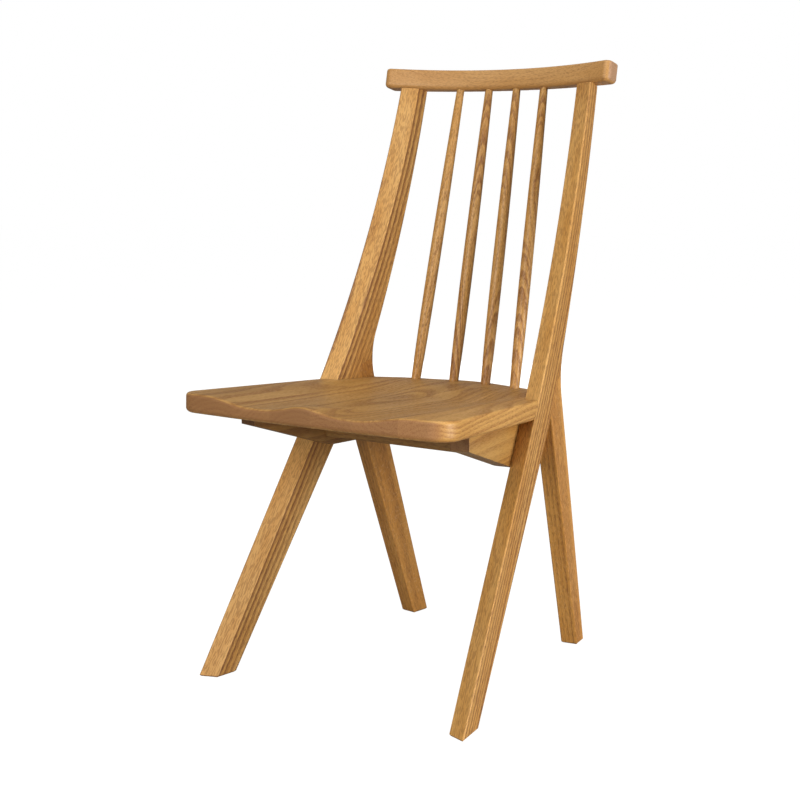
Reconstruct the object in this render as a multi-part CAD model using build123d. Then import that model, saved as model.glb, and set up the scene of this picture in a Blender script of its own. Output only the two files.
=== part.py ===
from build123d import *
import math
import os

# A dining chair in oiled oak. Millimetres, +Z up, the sitter faces -Y.
# Origin: on the floor, midway across the chair and midway between its foremost and rearmost points.

# ---- overall sizes ----
foot_spread = 462.0  # across the outer faces of the front feet
seat_height = 432.0  # top of the seat at the middle of its front edge
back_height = 872.0  # front corner of a post where the rail sits on it

# ---- side frames: one curved post with its front leg, and a rear leg let into it ----
frame_thickness = 27.0
frame_toe_deg = 8.2  # the two frames close in towards the back
frame_flare_deg = 0.3  # and lean a touch outwards at the top
front_set_back = 44.0  # front foot behind the front of the seat
front_leg_lean_deg = 31.9
front_leg_back_lean_deg = 33.9
front_foot_length = 51.0
front_face_skew = 14.5  # inner arris of the front face lies this far behind the outer one
back_face_skew = 5.0  # and the same for the back face
straight_leg_height = 363.0  # the front leg is straight up to here, then curves upright
post_top_reach = 451.0  # post top front corner behind the front foot
post_top_depth = 31.0
rear_foot_reach = 451.0  # rear foot front corner behind the front foot
rear_foot_length = 29.5
rear_leg_front_rake_deg = 19.9
rear_leg_back_rake_deg = 17.1
waist_height = 450.0  # where the back lines of post and rear leg would cross
waist_radius = 110.0
post_back_bulge = 10.0
arris_radius = 1.8
sole_chamfer = 2.5
trim_room = 6.0  # length left on the post for trimming to the rail
scarf_rake_deg = 20.0
scarf_height = 50.0  # the rear leg's nose above the crotch
scarf_heel = 2.0  # the scarf starts this far inside the front leg
scarf_tip_rise_deg = 17.0
scarf_dowel_shares = (0.3, 0.8)  # of the scarf's height

# ---- seat: six edge-glued staves, saddled on top ----
seat_thickness = 28.0
seat_slope_deg = 2.6
seat_front_half = 230.0
seat_side_half = 196.0  # half width where the side meets the post
seat_front_bow = 10.0
seat_corner_radius = 32.0
seat_back_reach = 446.0  # middle of the back edge behind the front edge
seat_back_sag = 53.0
seat_back_half = 151.0
stave_width = 69.0
stave_offset = 17.0
stave_count = 6
seat_under_radius = 7.0
seat_top_radius = 5.0
post_gap = 1.6  # open gap between the seat and the posts

# ---- saddle ----
hollow_depth = 10.0
hollow_half_spacing = 88.0
saddle_half_width = 172.0
saddle_back_margin = 62.0
pommel_half_width = 38.0
pommel_length = 120.0
carving_room = 5.0  # thickness left on the blank for the carving to take off
saddle_back_blend = 0.3  # share of the depth over which the hollows run out
carving_margin = 10.0  # the carved surface runs on past the board by this
carving_columns = 41
carving_rows = 31

# ---- under the seat ----
bearer_thickness = 28.0
bearer_start = 72.0  # blunt tip behind the front foot
bearer_tip_height = seat_height - 58.0
bearer_flat_start = 230.0
bearer_under_height = seat_height - 108.0
bearer_end = 352.0
beam_thickness = 28.0
beam_reach = 209.0  # front face behind the front foot
beam_under_height = seat_height - 93.0

# ---- top rail ----
rail_half_length = 202.0
rail_height = 31.0
rail_tilt_deg = 12.0
rail_front_sag = 34.0
rail_mid_depth = 22.0
rail_end_depth = 34.0
rail_front_lead = 1.2  # rail face in front of the post face
rail_end_radius = 9.0
rail_under_radius = 7.0
rail_edge_radius = 4.0

# ---- spindles ----
spindle_seat_spacing = (29.0, 90.0)
spindle_rail_spacing = (25.0, 75.5)
spindle_back_margin = 13.0
spindle_head_back = 9.5  # behind the front of the rail
spindle_foot_radius = 7.2
spindle_belly_radius = 9.0
spindle_head_radius = 6.0
spindle_belly_at = 0.42
spindle_tenon_radius = 4.5
spindle_seat_tenon = 16.0
spindle_rail_tenon = 15.0
spindle_lower_fullness = 0.6  # fuller than a straight taper by this, below the belly
spindle_upper_fullness = 0.5
spindle_lower_at = 0.19  # where those are measured
spindle_upper_at = 0.72
shoulder_drop = 3.0  # shoulders are let in, so no gap shows against the sloping faces
shoulder_room = 0.3

# ---- dowels and screws ----
glue_gap = 0.1
leg_dowel_radius = 5.0
leg_dowel_length = 44.0
rail_dowel_radius = 4.0
rail_dowel_length = 36.0
bearer_dowel_radius = 5.0
bearer_dowel_length = 40.0
beam_dowel_radius = 4.0
beam_dowel_length = 40.0
screw_shank_radius = 2.5
screw_head_radius = 4.5
screw_head_height = 3.0
screw_bite = 16.0
screw_recess = 2.0
screw_end_margin = 22.0
screw_tip_margin = 34.0
rail_dowel_shares = (0.52, 0.86)  # of the post top's depth
bearer_dowel_share = 0.78  # of the front leg's depth
bearer_dowel_heights = (16.0, 42.0)  # above the underside of the bearer
beam_dowel_heights = (9.0, 24.0)  # above the underside of the crossbeam

# ---- worked out from the sizes above ----
foot_y = 0.0  # the chair is built from its front feet back and centred at the end
seat_front_y = foot_y - front_set_back
toe = math.radians(frame_toe_deg)
seat_slope = math.radians(seat_slope_deg)
rail_tilt = math.radians(rail_tilt_deg)
reach = 1000.0  # longer than the chair, for cutting shapes


def tan_deg(angle):
    return math.tan(math.radians(angle))


flare = math.radians(frame_flare_deg)
level_outward = Vector(math.cos(toe), math.sin(toe), 0)
outward = level_outward * math.cos(flare) - Vector(0, 0, math.sin(flare))
rearward = Vector(-math.sin(toe), math.cos(toe), 0)


def side_plane(inboard=0.0):
    """The outer face of the +X frame: local x runs rearward, local y runs up."""
    origin = Vector(foot_spread / 2, foot_y, 0) - outward * inboard
    return Plane(origin=origin, x_dir=rearward, z_dir=outward)


def seat_plane(drop=0.0):
    """The uncarved top of the seat, its origin at the middle of the front edge."""
    normal = Vector(0, math.sin(seat_slope), math.cos(seat_slope))
    origin = Vector(0, seat_front_y, seat_height) - normal * drop
    return Plane(origin=origin, x_dir=(1, 0, 0), z_dir=normal)


def both_sides(shape):
    return shape, mirror(shape, about=Plane.YZ)


def group(shapes):
    return Compound([solid for shape in shapes for solid in shape.solids()])


# ---- side frames ----
def front_line(height):
    return height * tan_deg(front_leg_lean_deg)


def crotch():
    """Where the back of the front leg meets the front of the rear leg."""
    lean = tan_deg(front_leg_back_lean_deg)
    rake = tan_deg(rear_leg_front_rake_deg)
    height = (rear_foot_reach - front_foot_length) / (lean + rake)
    return Vector(front_foot_length + lean * height, height)


def post_top():
    """Front and back corners of the post top, which follows the underside of the rail."""
    front = Vector(post_top_reach, back_height)
    back = front + Vector(post_top_depth, -post_top_depth * math.tan(rail_tilt) * math.cos(toe))
    return front, back


def arc_leaving(start, angle_from_vertical_deg, end):
    """An arc from start, leaving at the given angle, to end."""
    angle = math.radians(angle_from_vertical_deg)
    return TangentArc(start, end, tangent=Vector(math.sin(angle), math.cos(angle)))


def bulged(start, end, bulge):
    middle = (start + end) / 2
    across = (end - start).rotate(Axis.Z, 90).normalized()
    return ThreePointArc(start, middle + across * bulge, end)


def behind_front_curve():
    """The area behind the front of the leg and post, left open above the rail's underside."""
    bend = Vector(front_line(straight_leg_height), straight_leg_height)
    below = Vector(front_line(-1), -1)
    upright = arc_leaving(bend, front_leg_lean_deg, post_top()[0])
    above = post_top()[0] + (upright % 1) * trim_room
    far = Polyline(above, (reach, above.Y), (reach, -1), below)
    return make_face(Curve() + [Line(below, bend), upright, Line(upright @ 1, above), far])


def ahead_of_back_curve():
    """The area ahead of the back of the post and rear leg, its waist rounded."""
    top_back = post_top()[1]
    foot_back = Vector(rear_foot_reach + rear_foot_length, 0)
    rake = tan_deg(rear_leg_back_rake_deg)
    waist = Vector(foot_back.X - waist_height * rake, waist_height)
    below = foot_back + Vector(rake, -1)
    curve = bulged(waist, top_back, -post_back_bulge)
    above = top_back + (curve % 1) * trim_room
    far = Polyline(above, (-reach, above.Y), (-reach, -1), below)
    area = make_face(Curve() + [Line(below, waist), curve, Line(top_back, above), far])
    corner = area.vertices().sort_by_distance(waist)[0]
    return fillet(corner, waist_radius)


def between_legs():
    """The open triangle between the front and the rear leg."""
    lean = tan_deg(front_leg_back_lean_deg)
    rake = tan_deg(rear_leg_front_rake_deg)
    front = Vector(front_foot_length - lean, -1)
    back = Vector(rear_foot_reach + rake, -1)
    return make_face(Polyline(front, crotch(), back, close=True))


def skewed(area, skew):
    """An area of the outer face carried through to the inner face and back by the skew."""
    return Solid.extrude((side_plane() * area).face(), rearward * skew - outward * frame_thickness)


def side_frame():
    """Post, front leg and rear leg of the +X side as one shape, before it is cut at the scarf."""
    frame = skewed(behind_front_curve(), front_face_skew) & skewed(ahead_of_back_curve(), back_face_skew)
    frame -= extrude(side_plane(-1) * between_legs(), amount=-frame_thickness - 2)
    frame -= Box(2 * reach, 2 * reach, reach, align=(Align.CENTER, Align.CENTER, Align.MAX))
    frame -= above(rail_plane())
    soles = frame.faces().sort_by(Axis.Z)[:2]
    frame = chamfer([edge for sole in soles for edge in sole.edges()], sole_chamfer)
    long_edges = [e for e in frame.edges() if e.length > 60 and not is_level(e)]
    return fillet(long_edges, arris_radius)


def above(plane):
    return plane * Box(2 * reach, 2 * reach, reach, align=(Align.CENTER, Align.CENTER, Align.MIN))


def is_level(edge):
    return abs((edge @ 0).Z - (edge @ 1).Z) < frame_thickness


def scarf_region():
    """The part of the side frame that belongs to the rear leg."""
    start = crotch() - Vector(scarf_heel, 0)
    nose = start + Vector(scarf_height * tan_deg(scarf_rake_deg), scarf_height)
    tip = nose + Vector(reach, reach * tan_deg(scarf_tip_rise_deg))
    below = Polyline(tip, (tip.X, -1), (start.X, -1), start)
    region = make_face(Curve() + [Line(start, nose), Line(nose, tip), below])
    return extrude(side_plane(-1) * region, amount=-frame_thickness - 2)


def frame_pieces(frame):
    """The post and the rear leg, with holes for the dowels across the scarf."""
    region = scarf_region()
    leg_dowels = scarf_dowels()
    post = frame - region
    leg = frame & region
    for dowel in leg_dowels:
        hole = swell(dowel, leg_dowel_radius, leg_dowel_length)
        post -= hole
        leg -= hole
    return post, leg


# ---- dowels ----
def pin(plane, radius, length):
    """A dowel centred on the plane's origin, running along its z direction."""
    return plane * Cylinder(radius, length)


def swell(plane, radius, length):
    """The drilled hole for a dowel."""
    return pin(plane, radius + glue_gap, length + 2 * glue_gap)


def scarf_dowels():
    """Planes of the two dowels across the scarf, on the middle of the frame's thickness."""
    start = crotch()
    along = Vector(math.sin(math.radians(scarf_rake_deg)), math.cos(math.radians(scarf_rake_deg)))
    middle = side_plane(frame_thickness / 2)
    planes = []
    for share in scarf_dowel_shares:
        spot = start + along * scarf_height * share
        centre = middle.from_local_coords(Vector(spot.X, spot.Y, 0))
        planes.append(Plane(origin=centre, z_dir=middle.x_dir * along.Y - Vector(0, 0, along.X)))
    return planes


def rail_dowels():
    """Planes of the two dowels that hold the rail on the +X post."""
    front, back = post_top()
    middle = side_plane(frame_thickness / 2)
    planes = []
    for share in rail_dowel_shares:
        spot = front + (back - front) * share
        centre = middle.from_local_coords(Vector(spot.X, spot.Y, 0))
        planes.append(Plane(origin=centre, z_dir=rail_plane().z_dir))
    return planes


def bearer_dowels():
    """Planes of the two dowels that pin a bearer to the +X post."""
    middle = side_plane(frame_thickness)
    planes = []
    for rise in bearer_dowel_heights:
        height = bearer_under_height + rise
        spot = Vector(front_line(height) + front_foot_length * bearer_dowel_share, height, 0)
        planes.append(Plane(origin=middle.from_local_coords(spot), z_dir=outward))
    return planes


def beam_dowels():
    """Planes of the two dowels between the crossbeam and the +X bearer."""
    face = side_plane(frame_thickness + bearer_thickness)
    planes = []
    for rise in beam_dowel_heights:
        y = foot_y + beam_reach + beam_thickness / 2
        along = (y - face.origin.Y) / rearward.Y
        x = face.origin.X + rearward.X * along
        planes.append(Plane(origin=(x, y, beam_under_height + rise), z_dir=(1, 0, 0)))
    return planes


def pins(planes, radius, length):
    pairs = [both_sides(pin(plane, radius, length)) for plane in planes]
    return group([shape for pair in pairs for shape in pair])


# ---- seat ----
def seat_outline():
    side_foot = front_foot_reach_in_seat()
    middle = Vector(0, 0)
    front = Vector(seat_front_half, seat_front_bow)
    waist = Vector(seat_side_half, side_foot)
    back_corner = Vector(seat_back_half, seat_back_reach - seat_back_sag)
    back = Vector(0, seat_back_reach)
    notch = Vector(seat_side_half, back_corner.Y)

    def flip(point):
        return Vector(-point.X, point.Y)

    edges = [ThreePointArc(flip(front), middle, front)]
    edges += [Polyline(front, waist, notch, back_corner)]
    edges += [ThreePointArc(back_corner, back, flip(back_corner))]
    edges += [Polyline(flip(back_corner), flip(notch), flip(waist), flip(front))]
    outline = make_face(Curve() + edges)
    corners = [outline.vertices().sort_by_distance(corner)[0] for corner in (front, flip(front))]
    return fillet(corners, seat_corner_radius)


def front_foot_reach_in_seat():
    """How far behind the front of the seat its sides reach the posts."""
    return front_set_back + front_line(seat_height - seat_thickness / 2) - post_gap


def smooth(share):
    share = min(1.0, max(0.0, share))
    return share * share * (3 - 2 * share)


def saddle_drop(x, y):
    """How far the carved top lies below its rim, x across and y back from the front edge."""
    across = abs(x)
    towards_back = y / (seat_back_reach - saddle_back_margin)
    side = smooth((saddle_half_width - across) / (saddle_half_width - hollow_half_spacing))
    back = smooth((1 - towards_back) / saddle_back_blend)
    pommel = math.exp(-((across / pommel_half_width) ** 2)) * smooth(1 - y / pommel_length)
    return hollow_depth * side * back * (1 - pommel)


def saddle_cut():
    """Everything above the carved top of the seat."""
    half = seat_front_half + carving_margin
    length = seat_back_reach + 2 * carving_margin
    grid = []
    for row in range(carving_rows):
        y = -carving_margin + length * row / (carving_rows - 1)
        line = []
        for column in range(carving_columns):
            x = -half + 2 * half * column / (carving_columns - 1)
            line.append(seat_plane().from_local_coords(Vector(x, y, -saddle_drop(x, y))))
        grid.append(line)
    surface = Face.make_surface_from_array_of_points(grid, tol=0.02, min_deg=3, max_deg=5)
    return Solid.extrude(surface, seat_plane().z_dir * seat_thickness * 2)


def post_clearance():
    """Room around one post where it passes the seat's corner."""
    outside = seat_front_half - seat_side_half + frame_thickness
    depth = outside + frame_thickness + post_gap
    skew = front_face_skew / frame_thickness
    region = Pos(-outside * skew - post_gap, 0) * behind_front_curve()
    return Solid.extrude((side_plane(-outside) * region).face(), (rearward * skew - outward) * depth)


def seat_board():
    board = extrude(seat_plane(-carving_room) * seat_outline(), amount=-seat_thickness - carving_room)
    under = board.faces().sort_by(Axis.Z)[0]
    board = fillet(under.edges(), seat_under_radius)
    board -= saddle_cut()
    for room in both_sides(post_clearance()):
        board -= room
    board = fillet(exposed_top_edges(board), seat_top_radius)
    for spindle in spindle_axes():
        board -= spindle_hole(spindle, at_seat=True)
    return board


def exposed_top_edges(board):
    """The front and side edges of the carved top, outside the posts."""
    upright = seat_plane().z_dir
    top = board.faces().filter_by(lambda face: face.normal_at().dot(upright) > 0).sort_by(SortBy.AREA)[-1]
    edges = top.outer_wire().edges()
    front = [edge for edge in edges if edge.center().Y < seat_front_y + seat_front_bow]
    sides = [edge for edge in edges if abs(edge.center().X) > seat_side_half]
    return front + [edge for edge in sides if edge not in front]


def stave_edges():
    """The glue lines of the seat, left to right."""
    first = stave_offset - stave_width * (stave_count // 2 - 1)
    return [first + stave_width * number for number in range(stave_count - 1)]


def seat_staves(board):
    bounds = [-reach] + stave_edges() + [reach]
    staves = []
    for left, right in zip(bounds, bounds[1:]):
        slab = Box(right - left, 2 * reach, 2 * reach)
        staves.append(board & Pos((left + right) / 2, 0, 0) * slab)
    return staves


# ---- under the seat ----
def bearer():
    points = [(bearer_start, bearer_tip_height), (bearer_flat_start, bearer_under_height)]
    points += [(bearer_end, bearer_under_height), (bearer_end, seat_height), (bearer_start, seat_height)]
    outline = make_face(Polyline(*points, close=True))
    shape = extrude(side_plane(frame_thickness) * outline, amount=-bearer_thickness)
    shape -= above(seat_plane(seat_thickness))
    for plane in bearer_dowels():
        shape -= swell(plane, bearer_dowel_radius, bearer_dowel_length)
    for plane in beam_dowels():
        shape -= swell(plane, beam_dowel_radius, beam_dowel_length)
    for screw in screw_planes():
        shape -= screw_shape(screw, glue_gap)
    return shape


def crossbeam():
    align = (Align.CENTER, Align.MIN, Align.MIN)
    beam = Box(foot_spread, beam_thickness, seat_height - beam_under_height, align=align)
    beam = Pos(0, foot_y + beam_reach, beam_under_height) * beam
    face = side_plane(frame_thickness + bearer_thickness)
    for shape in both_sides(above(face)):
        beam -= shape
    beam -= above(seat_plane(seat_thickness))
    for plane in beam_dowels():
        for hole in both_sides(swell(plane, beam_dowel_radius, beam_dowel_length)):
            beam -= hole
    return beam


def screw_planes():
    """Screws up through the +X bearer: each plane sits at the screw head, z pointing into the seat."""
    middle = side_plane(frame_thickness + bearer_thickness / 2)
    planes = []
    places = [bearer_start + screw_tip_margin]
    places += [end - screw_end_margin for end in (bearer_flat_start, bearer_end)]
    for along in places:
        slope_height = bearer_tip_height - (along - bearer_start) * bearer_fall()
        height = max(slope_height, bearer_under_height)
        spot = Vector(along, height + screw_recess, 0)
        planes.append(Plane(origin=middle.from_local_coords(spot), z_dir=(0, 0, 1)))
    return planes


def bearer_fall():
    return (bearer_tip_height - bearer_under_height) / (bearer_flat_start - bearer_start)


def screw_shape(plane, extra=0.0):
    """A countersunk screw from its head up into the seat; extra widens it into its hole."""
    seat_under = seat_plane(seat_thickness)
    to_seat = seat_under.to_local_coords(plane.origin).Z
    length = -to_seat / math.cos(seat_slope) + screw_bite + extra
    head = Cone(screw_head_radius + extra, screw_shank_radius + extra, screw_head_height, align=up())
    shank = Cylinder(screw_shank_radius + extra, length, align=up())
    return plane * (head + shank)


def up():
    return Align.CENTER, Align.CENTER, Align.MIN


# ---- top rail ----
def rail_plane():
    """The underside of the rail, its origin at the middle of the front edge."""
    normal = Vector(0, math.sin(rail_tilt), math.cos(rail_tilt))
    corner = side_plane().from_local_coords(Vector(post_top()[0].X, post_top()[0].Y, 0))
    radius = arc_radius(rail_half_length, rail_front_sag)
    drop = radius - math.sqrt(radius**2 - corner.X**2)
    back = (drop + rail_front_lead) * math.cos(rail_tilt)
    fall = (drop + rail_front_lead) * math.sin(rail_tilt)
    return Plane(origin=(0, corner.Y + back, corner.Z - fall), x_dir=(1, 0, 0), z_dir=normal)


def arc_radius(half_chord, sag):
    return (half_chord**2 + sag**2) / (2 * sag)


def top_rail():
    half = rail_half_length
    back_end = rail_end_depth - rail_front_sag
    front = ThreePointArc((-half, -rail_front_sag), (0, 0), (half, -rail_front_sag))
    back = ThreePointArc((half, back_end), (0, rail_mid_depth), (-half, back_end))
    right_end = Line((half, -rail_front_sag), (half, back_end))
    left_end = Line((-half, back_end), (-half, -rail_front_sag))
    plan = make_face(Curve() + [front, right_end, back, left_end])
    plan = fillet(plan.vertices(), rail_end_radius)
    rail = extrude(rail_plane() * plan, amount=rail_height)
    under = rail.faces().sort_by(Axis.Z)[0]
    rail = fillet(under.edges(), rail_under_radius)
    top = rail.faces().sort_by(Axis.Z)[-1]
    rail = fillet(top.edges(), rail_edge_radius)
    for plane in rail_dowels():
        for hole in both_sides(swell(plane, rail_dowel_radius, rail_dowel_length)):
            rail -= hole
    for axis in spindle_axes():
        rail -= spindle_hole(axis, at_seat=False)
    return rail


# ---- spindles ----
def spindle_axes():
    """Foot and head points of the four spindles, left to right, on the seat and under the rail."""
    seat_radius = arc_radius(seat_back_half, seat_back_sag)
    rail_radius = arc_radius(rail_half_length, rail_front_sag)
    axes = []
    for foot_x, head_x in zip(spindle_seat_spacing, spindle_rail_spacing):
        foot_y_back = seat_back_reach - seat_radius + math.sqrt(seat_radius**2 - foot_x**2)
        foot = seat_plane().from_local_coords(Vector(foot_x, foot_y_back - spindle_back_margin, 0))
        head_back = math.sqrt(rail_radius**2 - head_x**2) - rail_radius + spindle_head_back
        head = rail_plane().from_local_coords(Vector(head_x, head_back, 0))
        axes.append((foot, head))
    mirrored = [(flipped(foot), flipped(head)) for foot, head in reversed(axes)]
    return mirrored + axes


def flipped(point):
    return Vector(-point.X, point.Y, point.Z)


def spindle_plane(axis):
    foot, head = axis
    return Plane(origin=foot, z_dir=head - foot)


def spindle(axis):
    """A turned spindle with a belly in its lower half and a tenon at each end."""
    length = (axis[1] - axis[0]).length
    belly = Vector(spindle_belly_radius, length * spindle_belly_at)
    lower_mean = (spindle_foot_radius + spindle_belly_radius) / 2
    upper_mean = (spindle_head_radius + spindle_belly_radius) / 2
    lower = Vector(lower_mean + spindle_lower_fullness, length * spindle_lower_at)
    upper = Vector(upper_mean + spindle_upper_fullness, length * spindle_upper_at)
    foot = Vector(spindle_foot_radius, -shoulder_drop)
    head = Vector(spindle_head_radius, length + shoulder_drop)
    body = Spline(foot, lower, belly, upper, head)
    seat_end = -spindle_seat_tenon
    rail_end = length + spindle_rail_tenon
    tenon = spindle_tenon_radius
    points = [head, (tenon, head.Y), (tenon, rail_end), (0, rail_end), (0, seat_end)]
    points += [(tenon, seat_end), (tenon, foot.Y), foot]
    profile = make_face(Curve() + [body, Polyline(*points)])
    turned = revolve(Plane.XZ * profile, Axis.Z)
    return spindle_plane(axis) * turned


def spindle_hole(axis, at_seat):
    """The tenon hole with a shallow seat for the shoulder."""
    length = (axis[1] - axis[0]).length
    plane = spindle_plane(axis)
    if at_seat:
        bore = Cylinder(spindle_tenon_radius + glue_gap, spindle_seat_tenon + glue_gap, align=down())
        shoulder = Cylinder(spindle_foot_radius + shoulder_room, shoulder_drop + glue_gap, align=down())
        open_end = Cylinder(spindle_foot_radius + shoulder_room, hollow_depth, align=up())
        return plane * (bore + shoulder + open_end)
    bore = Cylinder(spindle_tenon_radius + glue_gap, spindle_rail_tenon + glue_gap, align=up())
    shoulder = Cylinder(spindle_head_radius + glue_gap, shoulder_drop + glue_gap, align=up())
    open_end = Cylinder(spindle_head_radius + shoulder_room, rail_edge_radius, align=down())
    return plane * Pos(0, 0, length) * (bore + shoulder + open_end)


def down():
    return Align.CENTER, Align.CENTER, Align.MAX


# ---- the chair ----
def build():
    frame = side_frame()
    post, rear_leg = frame_pieces(frame)
    for plane in rail_dowels():
        post -= swell(plane, rail_dowel_radius, rail_dowel_length)
    for plane in bearer_dowels():
        post -= swell(plane, bearer_dowel_radius, bearer_dowel_length)
    board = seat_board()
    for plane in screw_planes():
        for hole in both_sides(screw_shape(plane, glue_gap)):
            board -= hole
    pieces = {"top_rail": top_rail(), "crossbeam": crossbeam()}
    for name, shape in (("post", post), ("rear_leg", rear_leg), ("seat_bearer", bearer())):
        right, left = both_sides(shape)
        pieces[name + "_right"] = right
        pieces[name + "_left"] = left
    for number, stave in enumerate(seat_staves(board), 1):
        pieces[f"seat_stave_{number}"] = stave
    for number, axis in enumerate(spindle_axes(), 1):
        pieces[f"spindle_{number}"] = spindle(axis)
    pieces["scarf_dowels"] = pins(scarf_dowels(), leg_dowel_radius, leg_dowel_length)
    pieces["rail_dowels"] = pins(rail_dowels(), rail_dowel_radius, rail_dowel_length)
    pieces["bearer_dowels"] = pins(bearer_dowels(), bearer_dowel_radius, bearer_dowel_length)
    pieces["beam_dowels"] = pins(beam_dowels(), beam_dowel_radius, beam_dowel_length)
    screws = [shape for plane in screw_planes() for shape in both_sides(screw_shape(plane))]
    pieces["seat_screws"] = group(screws)
    return pieces


def centred(pieces):
    """The pieces moved so that the origin is midway between the front and the back."""
    box = group(pieces.values()).bounding_box()
    shift = Pos(0, -(box.min.Y + box.max.Y) / 2, 0)
    moved = {name: [shift * solid for solid in shape.solids()] for name, shape in pieces.items()}
    return {name: group(solids) if len(solids) > 1 else solids[0] for name, solids in moved.items()}


os.makedirs("parts", exist_ok=True)
for name, shape in centred(build()).items():
    export_step(shape, f"parts/{name}.step")
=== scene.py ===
import math

import bpy
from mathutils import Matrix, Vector


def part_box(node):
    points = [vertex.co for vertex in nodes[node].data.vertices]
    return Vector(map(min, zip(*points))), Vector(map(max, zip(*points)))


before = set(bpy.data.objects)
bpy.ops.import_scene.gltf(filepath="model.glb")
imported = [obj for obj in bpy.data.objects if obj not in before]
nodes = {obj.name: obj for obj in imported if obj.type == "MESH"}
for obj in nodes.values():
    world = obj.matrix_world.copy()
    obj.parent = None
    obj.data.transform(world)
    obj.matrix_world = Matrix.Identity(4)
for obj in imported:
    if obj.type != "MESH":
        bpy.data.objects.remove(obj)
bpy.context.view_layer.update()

# An oiled oak dining chair. The joiner's pieces keep their shapes; this gives each one its own board of oak.

TOE = math.radians(8.2)  # the side frames close in towards the back
LEG_LEAN = math.radians(31.9)
REAR_RAKE = math.radians(18.5)
SEAT_FALL = math.radians(2.6)
POST_BEND_HEIGHT = 0.363
POST_BEND = 0.3536
FACE_SKEW = 14.5 / 27  # the front of a post isn't square to its sides
SPINDLE_THICKNESS = 0.018

OUTWARD = Vector((math.cos(TOE), math.sin(TOE), 0))
REARWARD = Vector((-math.sin(TOE), math.cos(TOE), 0))


class Value:
    """A number that changes over a surface. Python's own signs work on it."""

    def __init__(self, finish, socket):
        self.finish = finish
        self.socket = socket

    def __add__(self, other):
        return self.finish.maths("ADD", self, other)

    def __radd__(self, other):
        return self.finish.maths("ADD", other, self)

    def __sub__(self, other):
        return self.finish.maths("SUBTRACT", self, other)

    def __rsub__(self, other):
        return self.finish.maths("SUBTRACT", other, self)

    def __mul__(self, other):
        return self.finish.maths("MULTIPLY", self, other)

    def __rmul__(self, other):
        return self.finish.maths("MULTIPLY", other, self)

    def __truediv__(self, other):
        return self.finish.maths("DIVIDE", self, other)


class Finish:
    """A material, or the light of the empty room, built node by node."""

    def __init__(self, made):
        made.use_nodes = True
        self.made = made
        self.tree = made.node_tree
        self.tree.nodes.clear()

    def node(self, kind, settings=None, sockets=None, output=0):
        made = self.tree.nodes.new(kind)
        for name, setting in (settings or {}).items():
            if name == "stops":
                self.set_stops(made.color_ramp, setting)
            else:
                setattr(made, name, setting)
        for name, value in (sockets or {}).items():
            if isinstance(value, Value):
                self.tree.links.new(value.socket, made.inputs[name])
            else:
                made.inputs[name].default_value = value
        return Value(self, made.outputs[output]) if output is not None else made

    def set_stops(self, ramp, stops):
        while len(ramp.elements) < len(stops):
            ramp.elements.new(0.5)
        for element, (place, level) in zip(ramp.elements, stops):
            element.position = place
            element.color = (level, level, level, 1)

    def maths(self, operation, *values):
        return self.node("ShaderNodeMath", {"operation": operation}, dict(enumerate(values)))

    def mix(self, share, first, second, blend="MIX"):
        return self.node(
            "ShaderNodeMix",
            {"data_type": "RGBA", "blend_type": blend},
            {0: share, 6: first, 7: second},
            output=2,
        )

    def towards(self, vector, direction):
        """How far a vector reaches along a direction."""
        return self.node(
            "ShaderNodeVectorMath", {"operation": "DOT_PRODUCT"}, {0: vector, 1: direction}, output="Value"
        )

    def combine(self, x, y, z):
        return self.node("ShaderNodeCombineXYZ", sockets={0: x, 1: y, 2: z})

    def noise(self, place, detail=2.0, roughness=0.5):
        return self.node(
            "ShaderNodeTexNoise",
            {"noise_dimensions": "3D"},
            {"Vector": place, "Scale": 1.0, "Detail": detail, "Roughness": roughness},
        )

    def between(self, value, low, high):
        """0 below low, 1 above high, and a soft step between."""
        return self.node(
            "ShaderNodeMapRange",
            {"interpolation_type": "SMOOTHSTEP"},
            {0: value, 1: low, 2: high, 3: 0.0, 4: 1.0},
        )


def colour(red, green, blue):
    """A colour picked on screen, from 0 to 255, as the light it gives back."""

    def light(level):
        level = level / 255
        return level / 12.92 if level <= 0.04045 else ((level + 0.055) / 1.055) ** 2.4

    return (light(red), light(green), light(blue), 1.0)


# Tones of the oiled oak; the pale one serves for ray fleck, and for edge wear with a painted highlight along
# the edges.
HONEY = colour(208, 161, 92)
AMBER = colour(190, 136, 63)
EARLY_WOOD = colour(134, 82, 35)
PORE = colour(104, 62, 28)
PALE_FLECK_WEAR_AND_HIGHLIGHT = colour(222, 182, 128)
END_GRAIN = colour(168, 122, 80)


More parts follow.
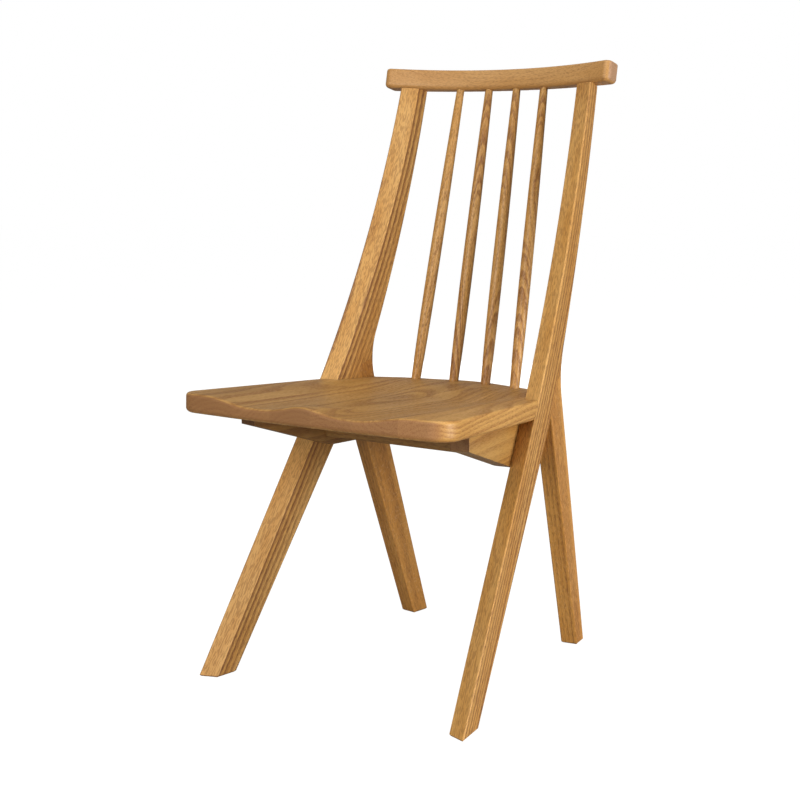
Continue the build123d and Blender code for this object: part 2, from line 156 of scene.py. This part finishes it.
def board(
    name,
    grain,
    face,
    heart,
    start,
    bend=None,
    tone_and_painted_light=1.0,
    honey=HONEY,
    amber=AMBER,
    ring_width=0.005,
    ring_depth=0.5,
    wander=0.012,
    pore_depth=0.55,
    pore_length=0.009,
    pore_cover=0.52,
    early_wood_and_shade=EARLY_WOOD,
    fleck=0.0,
    end=END_GRAIN,
    end_depth=0.75,
    polish=0.42,
    edge_wear_and_highlight=0.08,
):
    """Oak sawn from one board: grain runs along it, face is the way its broad side looks, and heart is
    where the middle of the tree lies, across and deep, seen from the start of the board."""
    wood = Finish(bpy.data.materials.new(name))
    grain = Vector(grain).normalized()
    face = Vector(face).normalized()
    sideways = grain.cross(face).normalized()
    place = wood.node("ShaderNodeTexCoord", output="Object")
    place = wood.node("ShaderNodeVectorMath", {"operation": "SUBTRACT"}, {0: place, 1: start})
    along = wood.towards(place, grain)
    across = wood.towards(place, sideways)
    deep = wood.towards(place, face)
    if bend:
        along, across, deep = bend(wood, place)

    # growth rings round the heart of the tree, wandering along its length, some years wider than others
    slow = wood.noise(wood.combine(along * 2.4, across * 8, deep * 8), 1.0)
    quick = wood.noise(wood.combine(along * 7, across * 60, deep * 60), 2.0)
    radius = wood.maths(
        "SQRT", (across - heart[0]) * (across - heart[0]) + (deep - heart[1]) * (deep - heart[1])
    )
    radius = radius + (slow - 0.5) * (wander * 2) + (quick - 0.5) * (ring_width * 0.4)
    years = wood.noise(wood.combine(radius / ring_width * 0.37, 0.3, 0.7), 1.0)
    ring = wood.maths("FRACT", radius / ring_width + (years - 0.5) * 2.2 + 40)
    early = wood.node(
        "ShaderNodeValToRGB",
        {"stops": [(0.0, 0.08), (0.12, 1.0), (0.4, 0.82), (0.68, 0.2), (1.0, 0.08)]},
        {0: ring},
    )
    early = early * wood.between(years, 0.2, 0.62)

    # pores: short dark dashes along the grain, thickest in the early wood, dots where the end shows
    dashes = wood.noise(wood.combine(along / pore_length, across * 880, deep * 880), 0.0)
    pores = wood.between(dashes, pore_cover, pore_cover + 0.07) * (0.45 + early * 0.55)
    fibres = wood.noise(wood.combine(along * 12, across * 900, deep * 900), 3.0, 0.6)
    blotch = wood.noise(wood.combine(along * 5, across * 22, deep * 22), 3.0, 0.55)

    normal = wood.node("ShaderNodeNewGeometry", output="Normal")
    soft = wood.node("ShaderNodeBevel", {"samples": 4}, {"Radius": 0.0016}) if edge_wear_and_highlight else normal
    arris = wood.between(1 - wood.towards(soft, normal), 0.01, 0.16)
    across_grain = wood.between(wood.maths("ABSOLUTE", wood.towards(normal, grain)), 0.62, 0.9)

    look = wood.mix(wood.between(blotch, 0.32, 0.7), honey, amber)
    look = wood.mix(early * ring_depth, look, early_wood_and_shade)
    look = wood.mix(wood.between(fibres, 0.42, 0.75) * 0.4, look, amber)
    if fleck:
        rays = wood.noise(wood.combine(along * 330, across * 120, deep * 700), 1.0, 0.4)
        look = wood.mix(wood.between(rays, 0.6, 0.68) * fleck, look, PALE_FLECK_WEAR_AND_HIGHLIGHT)
    look = wood.mix(pores * pore_depth, look, PORE)
    look = wood.mix(across_grain * end_depth, look, end)
    look = wood.mix(across_grain * pores * 0.35, look, PORE)
    # the edges are lightened: partly rubbed wear, partly a painted highlight along the arris
    look = wood.mix(arris * edge_wear_and_highlight, look, PALE_FLECK_WEAR_AND_HIGHLIGHT)
    look = wood.mix(1.0, look, (tone_and_painted_light, tone_and_painted_light, tone_and_painted_light, 1), "MULTIPLY")

    height = 0.5 - pores * 0.8 + (fibres - 0.5) * 0.25
    relief = {"Strength": 0.35, "Distance": 0.0003, "Height": height}
    if edge_wear_and_highlight:
        relief["Normal"] = soft
    bump = wood.node("ShaderNodeBump", sockets=relief)
    roughness = polish + (blotch - 0.5) * 0.12 + pores * 0.2 + across_grain * 0.14 - arris * 0.05
    shader = wood.node(
        "ShaderNodeBsdfPrincipled",
        sockets={"Base Color": look, "Roughness": roughness, "Normal": bump, "Specular IOR Level": 0.45},
    )
    wood.node("ShaderNodeOutputMaterial", sockets={"Surface": shader}, output=None)
    return wood.made


def turned_steel():
    """Zinc-plated screw heads: fine rings from turning, and a scatter of tarnish."""
    steel = Finish(bpy.data.materials.new("screw_steel"))
    place = steel.node("ShaderNodeTexCoord", output="Object")
    scatter = steel.noise(place, 3.0)
    grain = steel.noise(
        steel.node("ShaderNodeVectorMath", {"operation": "SCALE"}, {0: place, "Scale": 2200.0}), 2.0
    )
    tarnish = steel.mix(steel.between(grain, 0.35, 0.75), colour(176, 176, 172), colour(132, 130, 124))
    bump = steel.node("ShaderNodeBump", sockets={"Strength": 0.2, "Distance": 0.0002, "Height": grain})
    shader = steel.node(
        "ShaderNodeBsdfPrincipled",
        sockets={"Base Color": tarnish, "Roughness": 0.3 + scatter * 0.2, "Metallic": 1.0, "Normal": bump},
    )
    steel.node("ShaderNodeOutputMaterial", sockets={"Surface": shader}, output=None)
    return steel.made


def dress(node, material):
    """A jointed piece keeps its shape and takes a new finish."""
    mesh = nodes[node].data
    mesh.materials.clear()
    mesh.materials.append(material)


def middle(node):
    low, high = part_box(node)
    return (low + high) / 2


# ---- the seat: six staves, each from its own board ----
def seat():
    grain = (0, math.cos(SEAT_FALL), -math.sin(SEAT_FALL))
    hearts = [(0.03, -0.06), (-0.045, 0.07), (0.012, -0.05), (-0.02, -0.042), (0.03, 0.065), (0.02, -0.07)]
    # the staves differ in tone; stave 6, at the right side, is also lighter as a painted highlight where
    # light from the right falls on the seat's side edge
    stave_tones_and_highlight = [0.98, 1.02, 0.96, 1.02, 1.08, 1.2]
    for number, (heart, tone_and_painted_light) in enumerate(zip(hearts, stave_tones_and_highlight), 1):
        node = f"seat_stave_{number}"
        start = middle(node) + Vector((0, 0.4 * number, 0))
        dress(
            node,
            board(
                f"seat_stave_{number}_oak",
                grain,
                (0, 0, 1),
                heart,
                start,
                tone_and_painted_light=tone_and_painted_light,
                honey=colour(196, 150, 84),
                amber=colour(174, 128, 64),
                ring_width=0.0066,
                ring_depth=0.62,
                wander=0.02,
                pore_depth=0.35,
                end=colour(146, 100, 58),
                end_depth=0.85,
                edge_wear_and_highlight=0,
            ),
        )


# ---- side frames ----
def along_the_post(side):
    """Grain that follows the curve of the post, as in a board steamed to shape."""
    outward = Vector((OUTWARD.x * side, OUTWARD.y, 0))
    rearward = Vector((REARWARD.x * side, REARWARD.y, 0))

    def bend(wood, place):
        height = wood.towards(place, (0, 0, 1))
        above = wood.maths("MAXIMUM", height - POST_BEND_HEIGHT, 0.0)
        deep = wood.towards(place, outward)
        front = height * math.tan(LEG_LEAN) - above * above * POST_BEND - deep * FACE_SKEW
        return height * 1.1, wood.towards(place, rearward) - front, deep

    return bend


def posts():
    low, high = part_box("post_right")
    for name, side, heart, tone_and_painted_light, early_wood_and_shade in (
        # the left post's early wood is darker as painted shade for its inner face under the seat
        ("post_left", -1, (-0.1138, -0.0135), 1.08, colour(104, 60, 24)),
        ("post_right", 1, (0.14, -0.0135), 1.1, EARLY_WOOD),
    ):
        start = Vector((high.x * side, low.y, 0))
        dress(
            name,
            board(
                f"{name}_oak",
                (REARWARD.x * side * 0.45, REARWARD.y * 0.45, 1),
                (OUTWARD.x * side, OUTWARD.y, 0),
                heart,
                start,
                bend=along_the_post(side),
                tone_and_painted_light=tone_and_painted_light,
                ring_width=0.0095,
                ring_depth=1.0,
                wander=0.004,
                pore_depth=0.78,
                pore_cover=0.5,
                early_wood_and_shade=early_wood_and_shade,
                polish=0.52,
                edge_wear_and_highlight=0,
            ),
        )


def rear_legs():
    for name, side, heart, tone_and_painted_light in (
        ("rear_leg_left", -1, (0.02, -0.1), 0.98),
        ("rear_leg_right", 1, (0.01, 0.09), 1.14),
    ):
        grain = REARWARD * math.sin(REAR_RAKE) - Vector((0, 0, math.cos(REAR_RAKE)))
        dress(
            name,
            board(
                f"{name}_oak",
                (grain.x * side, grain.y, grain.z),
                (OUTWARD.x * side, OUTWARD.y, 0),
                heart,
                middle(name),
                tone_and_painted_light=tone_and_painted_light,
                honey=colour(205, 150, 76),
                amber=colour(190, 130, 56),
                ring_width=0.0062,
                ring_depth=0.6,
                wander=0.004,
                fleck=0.2,
            ),
        )


def under_seat():
    # the bearers are darkened as painted shade under the seat, and their end faces darker still as painted
    # shadow
    for name, side, heart, tone_and_painted_light in (
        ("seat_bearer_left", -1, (0.05, 0.04), 0.62),
        ("seat_bearer_right", 1, (-0.035, 0.02), 0.84),
    ):
        dress(
            name,
            board(
                f"{name}_oak",
                (REARWARD.x * side, REARWARD.y, 0),
                (OUTWARD.x * side, OUTWARD.y, 0),
                heart,
                middle(name),
                tone_and_painted_light=tone_and_painted_light,
                ring_width=0.012,
                ring_depth=0.6,
                wander=0.02,
                pore_depth=0.25,
                end=colour(112, 72, 40),
            ),
        )
    # the crossbeam is darkened as painted shade under the seat
    dress(
        "crossbeam",
        board("crossbeam_oak", (1, 0, 0), (0, 1, 0), (0.04, 0.03), middle("crossbeam"), tone_and_painted_light=0.62),
    )


# ---- the back ----
def rail():
    dress(
        "top_rail",
        board(
            "top_rail_oak",
            (1, 0, 0),
            (0, 1, 0.2),
            (0.06, 0.09),
            middle("top_rail"),
            honey=colour(200, 153, 94),
            amber=colour(186, 136, 74),
            ring_width=0.006,
            ring_depth=0.22,
            wander=0.004,
            pore_depth=0.45,
            pore_length=0.006,
            end=colour(168, 132, 106),
        ),
    )


def spindles():
    billets = [((0.05, 0.05), 0.35), ((0.02, 0.014), 0.8), ((-0.016, 0.012), 0.7), ((0.008, -0.011), 0.75)]
    for number, (heart, ring_depth) in enumerate(billets, 1):
        node = f"spindle_{number}"
        low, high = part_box(node)
        size = high - low - Vector((SPINDLE_THICKNESS, SPINDLE_THICKNESS, 0))
        inwards = -1 if number > 2 else 1
        grain = Vector((size.x * inwards, size.y, size.z))
        dress(
            node,
            board(
                f"spindle_{number}_oak",
                grain,
                (0.3, -1, 0),
                heart,
                (low + high) / 2,
                ring_width=0.0058,
                ring_depth=ring_depth,
                wander=0.005,
                pore_depth=0.6,
            ),
        )


def fixings():
    dowel = board("dowel_beech", (0, 1, 0), (0, 0, 1), (0.02, 0.02), Vector((0, 0, 0)), ring_depth=0.2)
    for node in ("scarf_dowels", "rail_dowels", "bearer_dowels", "beam_dowels"):
        dress(node, dowel)
    dress("seat_screws", turned_steel())


# ---- studio ----
def shown_as(finish, lit, seen):
    """Lights the room with one shader and shows another to the eye."""
    looked_at = finish.node("ShaderNodeLightPath", output="Is Camera Ray")
    return finish.node("ShaderNodeMixShader", sockets={0: looked_at, 1: lit, 2: seen})


def floor():
    pale = Finish(bpy.data.materials.new("studio_floor"))
    lit = pale.node("ShaderNodeBsdfDiffuse", sockets={"Color": (0.3, 0.29, 0.28, 1)})
    shade = pale.node("ShaderNodeBsdfDiffuse", sockets={"Color": (0.12, 0.12, 0.12, 1)})
    glow = pale.node("ShaderNodeEmission", sockets={"Color": (1, 1, 1, 1), "Strength": 0.97})
    seen = pale.node("ShaderNodeAddShader", sockets={0: shade, 1: glow})
    pale.node("ShaderNodeOutputMaterial", sockets={"Surface": shown_as(pale, lit, seen)}, output=None)
    mesh = bpy.data.meshes.new("studio_floor")
    half = 12.0
    corners = [(-half, -half, 0), (half, -half, 0), (half, half, 0), (-half, half, 0)]
    mesh.from_pydata(corners, [], [(0, 1, 2, 3)])
    mesh.materials.append(pale.made)
    ground = bpy.data.objects.new("studio_floor", mesh)
    bpy.context.scene.collection.objects.link(ground)


def soft_light(name, place, size, power, target):
    data = bpy.data.lights.new(name, "AREA")
    data.shape = "DISK"
    data.size = size
    data.energy = power
    light = bpy.data.objects.new(name, data)
    light.location = place
    light.rotation_euler = (Vector(target) - Vector(place)).to_track_quat("-Z", "Y").to_euler()
    bpy.context.scene.collection.objects.link(light)
    return light


def room():
    world = bpy.data.worlds.new("studio")
    bpy.context.scene.world = world
    air = Finish(world)
    lit = air.node("ShaderNodeBackground", sockets={"Color": (1, 1, 1, 1), "Strength": 0.24})
    seen = air.node("ShaderNodeBackground", sockets={"Color": (1, 1, 1, 1), "Strength": 1.0})
    air.node("ShaderNodeOutputWorld", sockets={"Surface": shown_as(air, lit, seen)}, output=None)
    soft_light("window_right", (3.2, -0.3, 0.7), 1.4, 88, (0, 0, 0.3))
    soft_light("window_front", (0.1, -3.1, 1.35), 1.9, 62, (0, 0, 0.25))
    soft_light("top", (0.2, -0.2, 3.0), 2.0, 27, (0, 0, 0.45))
    back = soft_light("window_back", (-1.3, 3.2, 0.4), 1.8, 65, (0, 0, 0.5))
    back.visible_glossy = False


def camera():
    data = bpy.data.cameras.new("view")
    data.sensor_width = 36
    data.lens = 67.7
    eye = bpy.data.objects.new("view", data)
    eye.location = (1.2188, -1.8299, 0.7567)
    eye.rotation_euler = (math.radians(80.93), 0, math.radians(34.16))
    bpy.context.scene.collection.objects.link(eye)
    bpy.context.scene.camera = eye


seat()
posts()
rear_legs()
under_seat()
rail()
spindles()
fixings()
floor()
room()
camera()
bpy.context.scene.view_settings.view_transform = "Standard"
